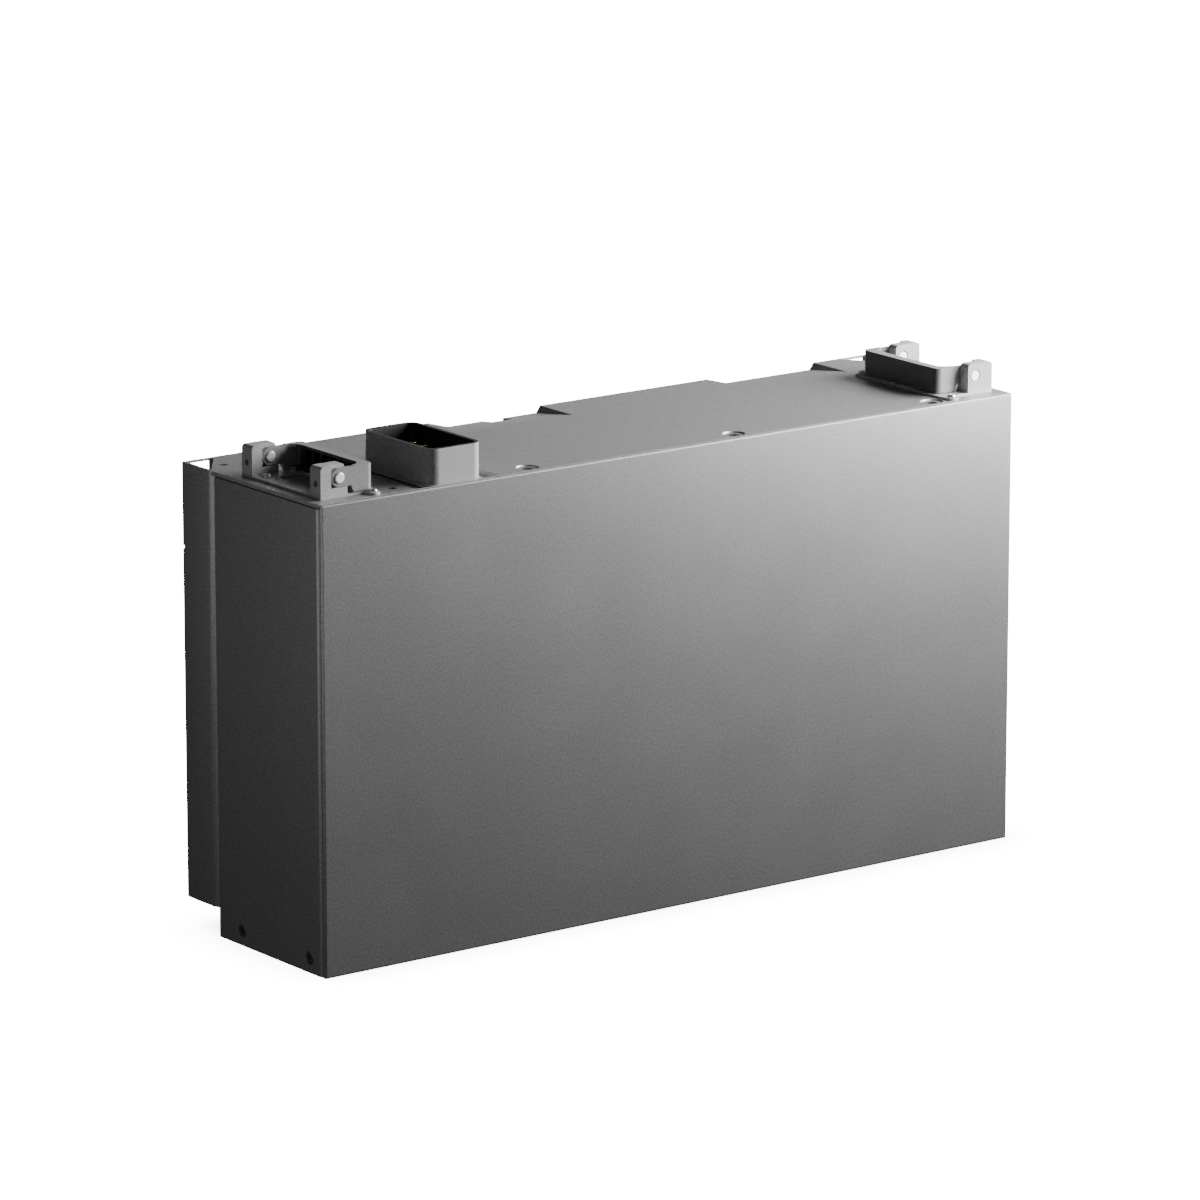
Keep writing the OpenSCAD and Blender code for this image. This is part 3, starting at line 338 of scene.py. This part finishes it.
def metal(name, color, roughness, stretch=ACROSS_Z):
    """Bare metal with faint lines left by turning or rolling."""
    mat, tree, shader = new_material(name, color, roughness, 1.0)
    lines = noise(tree, LINE_SCALE, 3, stretch)
    tree.links.new(spread(tree, lines, roughness - 0.08, roughness + 0.1), shader.inputs["Roughness"])
    bump(tree, shader, lines, 0.3, LINE_LIFT)
    return mat


zinc_steel = metal("zinc_plated_steel", (0.62, 0.62, 0.6), 0.3)
pin_steel = metal("bright_pin_steel", (0.9, 0.9, 0.88), 0.5)
black_steel = metal("blackened_steel", (0.05, 0.05, 0.05), 0.38)
lock_steel = metal("oiled_lock_screw_steel", (0.22, 0.22, 0.22), 0.32)
copper = metal("rolled_copper", (0.86, 0.45, 0.28), 0.3, ACROSS_X)
gold = metal("gold_plated_contact", (0.95, 0.72, 0.35), 0.22)
aluminium = metal("satin_aluminium", (0.78, 0.78, 0.79), 0.35, ACROSS_X)
print("metals ready")

# %% [markdown]
# Softened edges
# Real sheet, castings and mouldings have no knife edges: a small round catches the light along
# each of them. The solids have exact sharp edges and loose triangles, so a copy is merged,
# its flat faces are joined again, and a bevel modifier rounds every edge sharper than 30
# degrees. The copy then stands for the solid, in the same place and of the same size.

# %% Soft copies
SAME_POINT = 2e-6
FLAT_ANGLE = math.radians(0.3)
SHARP_ANGLE = math.radians(30)


def stand_for(piece, node):
    """Hides a solid and hangs a finished piece on that solid's body."""
    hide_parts(node)
    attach(piece, body_of_node[node])


def second_finish(piece, material, chosen):
    """Gives another material to the faces that a test on middle and normal chooses."""
    piece.data.materials.append(material)
    count = 0
    for face in piece.data.polygons:
        if chosen(face.center, face.normal):
            face.material_index = len(piece.data.materials) - 1
            count += 1
    print(piece.name, "faces in", material.name, ":", count)


def soft_copy(node, material, width, segments):
    """A merged and bevelled copy that stands for a solid."""
    source = nodes[node]
    shell = bmesh.new()
    shell.from_mesh(source.data)
    bmesh.ops.remove_doubles(shell, verts=shell.verts, dist=SAME_POINT)
    bmesh.ops.dissolve_limit(shell, angle_limit=FLAT_ANGLE, verts=shell.verts, edges=shell.edges)
    mesh = bpy.data.meshes.new(node + "_skin")
    shell.to_mesh(mesh)
    shell.free()
    mesh.shade_smooth()
    skin = bpy.data.objects.new(node + "_skin", mesh)
    bpy.context.scene.collection.objects.link(skin)
    if width:
        bevel = skin.modifiers.new("edge_round", "BEVEL")
        bevel.width = width
        bevel.segments = segments
        bevel.limit_method = "ANGLE"
        bevel.angle_limit = SHARP_ANGLE
        bevel.miter_outer = "MITER_ARC"
        even = skin.modifiers.new("flat_faces_stay_flat", "WEIGHTED_NORMAL")
        even.weight = 100
        even.keep_sharp = True
    graph = bpy.context.evaluated_depsgraph_get()
    made = bpy.data.meshes.new_from_object(skin.evaluated_get(graph))
    skin.modifiers.clear()
    skin.data = made
    made.name = node + "_skin"
    if not width:
        made.set_sharp_from_angle(angle=SHARP_ANGLE)
    made.materials.clear()
    made.materials.append(material)
    stand_for(skin, node)
    return skin


# Each row is a solid, its finish, the radius of its edges and the steps of that round.
SOFT = [
    ("front_cover", cover_paint, 0.0003, 2),
    ("front_seal", seal_rubber, 0.0, 1),
    ("case_shell", case_paint, 0.0004, 2),
    ("base_tray", zinc_steel, 0.0003, 1),
    ("stack_bars", zinc_steel, 0.0005, 2),
    ("top_plate", top_paint, 0.0004, 2),
    ("top_seal", seal_rubber, 0.0, 1),
    ("rear_housing", case_paint, 0.0005, 2),
    ("rear_seal", seal_rubber, 0.0, 1),
    ("connector_shroud", shroud_plastic, 0.0006, 3),
    ("connector_seal", seal_rubber, 0.0, 1),
    ("power_contacts", gold, 0.0003, 2),
    ("signal_contacts", gold, 0.0002, 2),
    ("stack_plug", plug_plastic, 0.0005, 2),
    ("plug_contacts", gold, 0.0, 1),
    ("left_bracket", bracket_coat, 0.0005, 2),
    ("right_bracket", bracket_coat, 0.0005, 2),
    ("left_handle", handle_plastic, 0.0005, 2),
    ("right_handle", handle_plastic, 0.0005, 2),
    ("left_hinge_pins", pin_steel, 0.0002, 2),
    ("right_hinge_pins", pin_steel, 0.0002, 2),
]
skins = {}
for node, material, width, segments in SOFT:
    skins[node] = soft_copy(node, material, width, segments)
    print(node, "faces:", len(skins[node].data.polygons))

# %% [markdown]
# Finish by faces
# One moulding can need two looks, and some looks here are painted shade. The inside of the
# connector's mouth, its rim with it, and the hollow of each grip are near-black, and so is the
# grip's flat outer wall; the cover's folded top edge gets a darker, duller coat that dims the
# highlight on it. One way is a mask drawn on an unwrapped surface; here the faces are chosen by
# where they lie and which way they point, which needs no unwrapping.

# %% Connector in two tones
MOUTH_FLOOR = 0.375
MOUTH_HALF_WIDTH = 0.0225
MOUTH_HALF_LENGTH = 0.044
RIM = 0.0007
LOOKS_IN = 0.0002
LOOKS_UP = 0.5

mouth_low, mouth_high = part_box("connector_shroud")
mouth_mid = (Vector(mouth_low) + Vector(mouth_high)) / 2


def in_the_mouth(middle, normal):
    """True on the connector's inner walls, floor and rim."""
    aside = mouth_mid - middle
    inside = abs(aside.x) < MOUTH_HALF_WIDTH and abs(aside.y) < MOUTH_HALF_LENGTH
    looks_in = aside.x * normal.x + aside.y * normal.y > LOOKS_IN
    on_rim = middle.z > mouth_high[2] - RIM
    return middle.z > MOUTH_FLOOR and (on_rim or inside and (looks_in or normal.z > LOOKS_UP))


# Painted shade: the connector's inner walls, floor and rim get the near-black that stands for the shade
# inside it.
second_finish(skins["connector_shroud"], hollow_shade_plastic, in_the_mouth)

# %% Handles in three tones
HOLLOW_STARTS = 0.0023
HOLLOW_ENDS = 0.0104
LIP = 0.0004
END_WALL = 0.0045
OUTER_WALL_REACH = 0.0006
LOOKS_OUT = 0.6


def dress_handle(node, side):
    """Painted shade: near-black hollow and outer wall; side is 1 where the wall faces right, -1 where left.
    """
    low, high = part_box(node)
    outer = high[0] if side > 0 else -low[0]

    def in_the_hollow(middle, normal):
        """True between the lips of the grip, on its ribs too."""
        in_depth = HOLLOW_STARTS < outer - side * middle.x < HOLLOW_ENDS
        in_height = low[2] + LIP < middle.z < high[2] - LIP
        in_length = low[1] + END_WALL < middle.y < high[1] - END_WALL
        return in_depth and in_height and in_length

    def on_the_grip(middle, normal):
        """True on the flat outer wall."""
        return side * normal.x > LOOKS_OUT and outer - side * middle.x < OUTER_WALL_REACH

    # Painted shade: the hollow between the grip's lips gets the near-black that stands for the shade in it.
    second_finish(skins[node], hollow_shade_plastic, in_the_hollow)
    # Painted shade: the grip's flat outer wall gets a near-black finish.
    second_finish(skins[node], grip_wall_shade, on_the_grip)


dress_handle("left_handle", 1)
dress_handle("right_handle", -1)

# %% Folded top edge of the cover


def on_the_folded_edge(middle, normal):
    """True where the front cover turns from its front to its top."""
    return normal.z > 0.2 and normal.y < -0.15


# Painted shade: the faces that turn up and to the front get the darker coat that dims their highlight.
second_finish(skins["front_cover"], folded_edge_shade, on_the_folded_edge)

# %% [markdown]
# Screws
# Every screw here is turned from rod, with a conical or domed head, a small chamfer at the rim
# and a hexagon socket. Many equal things on known places are what Geometry Nodes are for: one
# tree makes a screw from cones and puts it on each vertex of a small mesh, turned along that
# vertex's own axis. Modelling one by hand and copying it would work too, but a new size would
# then mean a new model. The four sizes of a head are thread, width, height and screw length.

# %% Node tree helpers
RIM_ANGLE = math.radians(25)
CREASE_ANGLE = math.radians(35)


def add(tree, kind, inputs=None, **settings):
    """Adds a node, sets its options, and sets or links its inputs."""
    made = tree.nodes.new(kind)
    for name, value in settings.items():
        setattr(made, name, value)
    for name, value in (inputs or {}).items():
        if isinstance(value, bpy.types.NodeSocket):
            tree.links.new(value, made.inputs[name])
        else:
            made.inputs[name].default_value = value
    return made


def new_tree(name, sizes):
    """A Geometry Nodes tree with one geometry in and out, and a named input for each size."""
    tree = bpy.data.node_groups.new(name, "GeometryNodeTree")
    tree.interface.new_socket("Places", in_out="INPUT", socket_type="NodeSocketGeometry")
    for label in sizes:
        tree.interface.new_socket(label, in_out="INPUT", socket_type="NodeSocketFloat")
    tree.interface.new_socket("Made", in_out="OUTPUT", socket_type="NodeSocketGeometry")
    return tree, tree.nodes.new("NodeGroupInput").outputs, tree.nodes.new("NodeGroupOutput").inputs


def maths(tree, operation, a, b):
    """A sum, difference or product of two sockets or numbers."""
    return add(tree, "ShaderNodeMath", {0: a, 1: b}, operation=operation).outputs[0]


def lifted(tree, geometry, z):
    """Moves a geometry up by a socket's value."""
    offset = add(tree, "ShaderNodeCombineXYZ", {"Z": z}).outputs[0]
    return add(tree, "GeometryNodeTransform", {"Geometry": geometry, "Translation": offset}).outputs[0]


def cone_between(tree, low_z, low_radius, high_z, high_radius, sides=40):
    """A closed cone from one height and radius to another."""
    cone = add(tree, "GeometryNodeMeshCone", {
        "Vertices": sides, "Radius Bottom": low_radius, "Radius Top": high_radius,
        "Depth": maths(tree, "SUBTRACT", high_z, low_z)}, fill_type="NGON")
    return lifted(tree, cone.outputs["Mesh"], low_z)


def finished(tree, geometry, finish):
    """The same geometry in one finish."""
    done = add(tree, "GeometryNodeSetMaterial", {"Geometry": geometry, "Material": finish})
    return done.outputs["Geometry"]


def on_each_place(tree, places, made):
    """Puts a geometry on every vertex, along its own axis, as a plain mesh."""
    axis = add(tree, "GeometryNodeInputNamedAttribute", {"Name": "axis"}, data_type="FLOAT_VECTOR")
    turn = add(tree, "FunctionNodeAlignRotationToVector", {"Vector": axis.outputs["Attribute"]}, axis="Z")
    put = add(tree, "GeometryNodeInstanceOnPoints", {
        "Points": places, "Instance": made, "Rotation": turn.outputs["Rotation"]})
    real = add(tree, "GeometryNodeRealizeInstances", {"Geometry": put.outputs["Instances"]})
    return real.outputs["Geometry"]


def made_on_places(name, tree, places, sizes, rounding=0.0):
    """Runs a tree on places, each a point and an axis, and returns the result as a plain mesh."""
    mesh = bpy.data.meshes.new(name)
    mesh.from_pydata([point for point, axis in places], [], [])
    lines = mesh.attributes.new("axis", "FLOAT_VECTOR", "POINT")
    lines.data.foreach_set("vector", [number for point, axis in places for number in axis])
    piece = bpy.data.objects.new(name, mesh)
    bpy.context.scene.collection.objects.link(piece)
    grown = piece.modifiers.new("grown", "NODES")
    grown.node_group = tree
    for socket in tree.interface.items_tree:
        if socket.in_out == "INPUT" and socket.name in sizes:
            grown[socket.identifier] = sizes[socket.name]
    if rounding:
        edge = piece.modifiers.new("edge_round", "BEVEL")
        edge.width = rounding
        edge.segments = 2
        edge.limit_method = "ANGLE"
        edge.angle_limit = RIM_ANGLE
    made = bpy.data.meshes.new_from_object(piece.evaluated_get(bpy.context.evaluated_depsgraph_get()))
    piece.modifiers.clear()
    piece.data = made
    made.name = name
    made.shade_smooth()
    made.set_sharp_from_angle(angle=CREASE_ANGLE)
    print(name, "on", len(places), "places, faces:", len(made.polygons))
    return piece


# %% Screw tree
SCREW_SIZES = ["Low Z", "Low Radius", "Mid Z", "Mid Radius", "Top Z", "Top Radius",
               "Shank Radius", "Length", "Socket Radius", "Socket Floor"]
CUT_ABOVE = 0.002
HEAD_CHAMFER = 0.00015


def screw_tree(name, finish):
    """Shank, conical or domed head with a chamfered rim, and a hexagon socket."""
    tree, size, out = new_tree(name, SCREW_SIZES)
    lower = cone_between(tree, size["Low Z"], size["Low Radius"], size["Mid Z"], size["Mid Radius"])
    upper = cone_between(tree, size["Mid Z"], size["Mid Radius"], size["Top Z"], size["Top Radius"])
    shank = cone_between(tree, size["Length"], size["Shank Radius"], size["Low Z"], size["Shank Radius"])
    solid = add(tree, "GeometryNodeMeshBoolean", operation="UNION", solver="EXACT")
    for part in (lower, upper, shank):
        tree.links.new(part, solid.inputs["Mesh 2"])
    above = maths(tree, "ADD", size["Top Z"], CUT_ABOVE)
    key_size = size["Socket Radius"]
    socket = cone_between(tree, size["Socket Floor"], key_size, above, key_size, 6)
    cut = add(tree, "GeometryNodeMeshBoolean", {"Mesh 1": solid.outputs["Mesh"]},
              operation="DIFFERENCE", solver="EXACT")
    tree.links.new(socket, cut.inputs["Mesh 2"])
    screws = on_each_place(tree, size["Places"], cut.outputs["Mesh"])
    tree.links.new(finished(tree, screws, finish), out["Made"])
    return tree


def sunk_head(thread, head, height, length):
    """Sizes of a countersunk screw, whose face lies at zero."""
    return {"Low Z": -height, "Low Radius": thread / 2, "Mid Z": -HEAD_CHAMFER, "Mid Radius": head / 2,
            "Top Z": 0.0, "Top Radius": head / 2 - HEAD_CHAMFER, "Shank Radius": thread / 2,
            "Length": -length, "Socket Radius": thread * 0.31, "Socket Floor": -height * 0.6}


def button_head(thread, head, height, length):
    """Sizes of a button head, which stands on zero."""
    return {"Low Z": 0.0, "Low Radius": head / 2, "Mid Z": height * 0.5, "Mid Radius": head / 2,
            "Top Z": height, "Top Radius": head * 0.35, "Shank Radius": thread / 2,
            "Length": -length, "Socket Radius": thread * 0.35, "Socket Floor": height * 0.4}


# %% Screws sunk in the top plate
# The places are x, y, z in metres and the way the head faces.
UP = (0, 0, 1)
CASE_TOP = 0.374
DIMPLE_DEPTH = 0.0012
DIMPLE_ROW_Y = -0.08075
FIRST_DIMPLE_X = -0.136
DIMPLE_STEP = 0.202
SUNK_ROUNDING = 0.0001
black_screws = screw_tree("black_socket_screws", black_steel)
oiled_screws = screw_tree("oiled_socket_screws", lock_steel)
bright_screws = screw_tree("bright_socket_screws", zinc_steel)

dimple_places = [((FIRST_DIMPLE_X + step * DIMPLE_STEP, DIMPLE_ROW_Y, CASE_TOP - DIMPLE_DEPTH), UP)
                 for step in range(3)]
corner_spots = [(-0.32, 0.06725), (0.32, 0.06725), (-0.262, -0.07825)]
corner_places = [((x, y, CASE_TOP), UP) for x, y in corner_spots]
dimple_screws = made_on_places("dimple_screws", black_screws, dimple_places,
                               sunk_head(0.005, 0.009, 0.0017, 0.008), SUNK_ROUNDING)
stand_for(dimple_screws, "top_screws")
corner_screws = made_on_places("corner_screws", black_screws, corner_places,
                               sunk_head(0.004, 0.007, 0.0015, 0.009), SUNK_ROUNDING)
stand_for(corner_screws, "top_screws")

# %% Lock screws low on the sides
SIDE_X = 0.34
LOCK_Z = 0.012
lock_places = [((side * SIDE_X, y, LOCK_Z), (side, 0, 0)) for side in (-1, 1) for y in (-0.07375, 0.01925)]
lock_screws = made_on_places("lock_screws_turned", oiled_screws, lock_places,
                             sunk_head(0.006, 0.0106, 0.003, 0.009), SUNK_ROUNDING)
stand_for(lock_screws, "lock_screws")

# %% Raised screws of the brackets and the rear housing
BUTTON_ROUNDING = 0.00015
FOOT_TOP = 0.376
REAR_X = 0.328
REAR_Y = 0.04925
foot_spots = [(0.285, -0.08475), (0.32175, -0.05875), (0.285, 0.03025), (0.32175, 0.00425)]
for side, node in ((-1, "left_bracket_screws"), (1, "right_bracket_screws")):
    places = [((side * x, y, FOOT_TOP), UP) for x, y in foot_spots]
    foot_screws = made_on_places(node + "_turned", bright_screws, places,
                                 button_head(0.004, 0.007, 0.0024, 0.005), BUTTON_ROUNDING)
    stand_for(foot_screws, node)

rear_spots = [(share * REAR_X, z) for share in (-1, -0.33, 0.33, 1) for z in (0.0465, 0.336)]
rear_places = [((x, REAR_Y, z), (0, -1, 0)) for x, z in rear_spots]
rear_screws = made_on_places("rear_screws_turned", bright_screws, rear_places,
                             button_head(0.004, 0.007, 0.0025, 0.0055), BUTTON_ROUNDING)
stand_for(rear_screws, "rear_screws")

# %% [markdown]
# Wound inductors
# The converter's three inductors are rings of pressed powder wound with enamelled wire. Each
# turn is a rounded loop through the ring, so a second tree bends one wire along a rounded
# rectangle and repeats it round the ring. A single coiled curve would be truer at the ends, but
# separate loops look the same and keep the spacing exact.

# %% Wound ring tree
RING_SIZES = ["Outer Radius", "Inner Radius", "Depth", "Wire Radius"]
TURNS = 40
WIRE_RADIUS = 0.0007
BORE_SHARE = 0.375
enamel = metal("enamelled_copper_wire", (0.72, 0.3, 0.12), 0.28)


def circle(tree, radius, resolution):
    """A round curve."""
    return add(tree, "GeometryNodeCurvePrimitiveCircle", {"Resolution": resolution, "Radius": radius},
               mode="RADIUS").outputs["Curve"]


def rounded_loop(tree, width, height, radius):
    """A rectangle curve with rounded corners."""
    loop = add(tree, "GeometryNodeCurvePrimitiveQuadrilateral", {"Width": width, "Height": height})
    return add(tree, "GeometryNodeFilletCurve", {
        "Curve": loop.outputs["Curve"], "Radius": radius, "Count": 3}, mode="POLY").outputs["Curve"]


def swept(tree, curve, profile):
    """A tube along a curve."""
    tube = add(tree, "GeometryNodeCurveToMesh", {"Curve": curve, "Profile Curve": profile})
    return tube.outputs["Mesh"]


def wound_ring_tree():
    """A ring of rectangular section inside a row of wire loops."""
    tree, size, out = new_tree("wound_ring", RING_SIZES)
    wire = size["Wire Radius"]
    depth = size["Depth"]
    band = maths(tree, "SUBTRACT", size["Outer Radius"], size["Inner Radius"])
    both = maths(tree, "ADD", size["Outer Radius"], size["Inner Radius"])
    mean = maths(tree, "MULTIPLY", both, 0.5)
    two_wires = maths(tree, "MULTIPLY", wire, 2.0)
    four_wires = maths(tree, "MULTIPLY", wire, 4.0)
    # the core: a rounded rectangle swept round a circle
    core_width = maths(tree, "SUBTRACT", band, four_wires)
    core_depth = maths(tree, "SUBTRACT", depth, four_wires)
    section = rounded_loop(tree, core_width, core_depth, wire)
    core = finished(tree, swept(tree, circle(tree, mean, 72), section), core_powder)
    # one turn of wire, stood up beside the ring's middle
    turn_width = maths(tree, "SUBTRACT", band, two_wires)
    turn_depth = maths(tree, "SUBTRACT", depth, two_wires)
    turn = rounded_loop(tree, turn_width, turn_depth, two_wires)
    tube = swept(tree, turn, circle(tree, wire, 7))
    upright = add(tree, "GeometryNodeTransform", {"Geometry": tube, "Rotation": (math.pi / 2, 0, 0)})
    wire_turn = finished(tree, upright.outputs["Geometry"], enamel)
    # the turns round the ring
    rim = add(tree, "GeometryNodeMeshCircle", {"Vertices": TURNS, "Radius": mean})
    spot = add(tree, "GeometryNodeInputPosition")
    turned = add(tree, "FunctionNodeAlignRotationToVector", {"Vector": spot.outputs["Position"]}, axis="X")
    turns = add(tree, "GeometryNodeInstanceOnPoints", {
        "Points": rim.outputs["Mesh"], "Instance": wire_turn, "Rotation": turned.outputs["Rotation"]})
    ring = add(tree, "GeometryNodeJoinGeometry")
    tree.links.new(core, ring.inputs["Geometry"])
    tree.links.new(turns.outputs["Instances"], ring.inputs["Geometry"])
    rings = on_each_place(tree, size["Places"], ring.outputs["Geometry"])
    tree.links.new(rings, out["Made"])
    return tree


# %% Inductors
coil_low, coil_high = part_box("inductors")
coil_radius = (coil_high[2] - coil_low[2]) / 2
coil_pitch = (coil_high[0] - coil_low[0] - 2 * coil_radius) / 2
coil_mid = ((coil_low[1] + coil_high[1]) / 2, (coil_low[2] + coil_high[2]) / 2)
coil_places = [((coil_low[0] + coil_radius + step * coil_pitch, *coil_mid), (0, 1, 0)) for step in range(3)]
coils = made_on_places("wound_inductors", wound_ring_tree(), coil_places, {
    "Outer Radius": coil_radius, "Inner Radius": coil_radius * BORE_SHARE,
    "Depth": coil_high[1] - coil_low[1], "Wire Radius": WIRE_RADIUS})
stand_for(coils, "inductors")

# %% [markdown]
# Pieces inside the case
# Nothing inside shows while the case is closed, but someone may take it apart in the library,
# so each inner solid keeps its shape and gets the finish of the real piece.

# %% Inner finishes
INNER = {
    "thermal_pad": white_plastic,
    "cell_pads": white_plastic,
    "left_end_plate": aluminium,
    "right_end_plate": aluminium,
    "compression_bands": zinc_steel,
    "busbar_tray": white_plastic,
    "busbars": copper,
    "electronics_deck": aluminium,
    "bms_board": board_lacquer,
    "contactor": plug_plastic,
    "main_fuse": white_plastic,
    "current_shunt": copper,
    "power_links": copper,
    "through_leads": copper,
    "converter_board": board_lacquer,
    "capacitors": plug_plastic,
    "heat_sink": aluminium,
}
for node, solid in nodes.items():
    finish = cell_film if node.startswith("cell_") and node != "cell_pads" else INNER.get(node)
    if finish:
        solid.data.materials.clear()
        solid.data.materials.append(finish)
print("inner pieces finished")
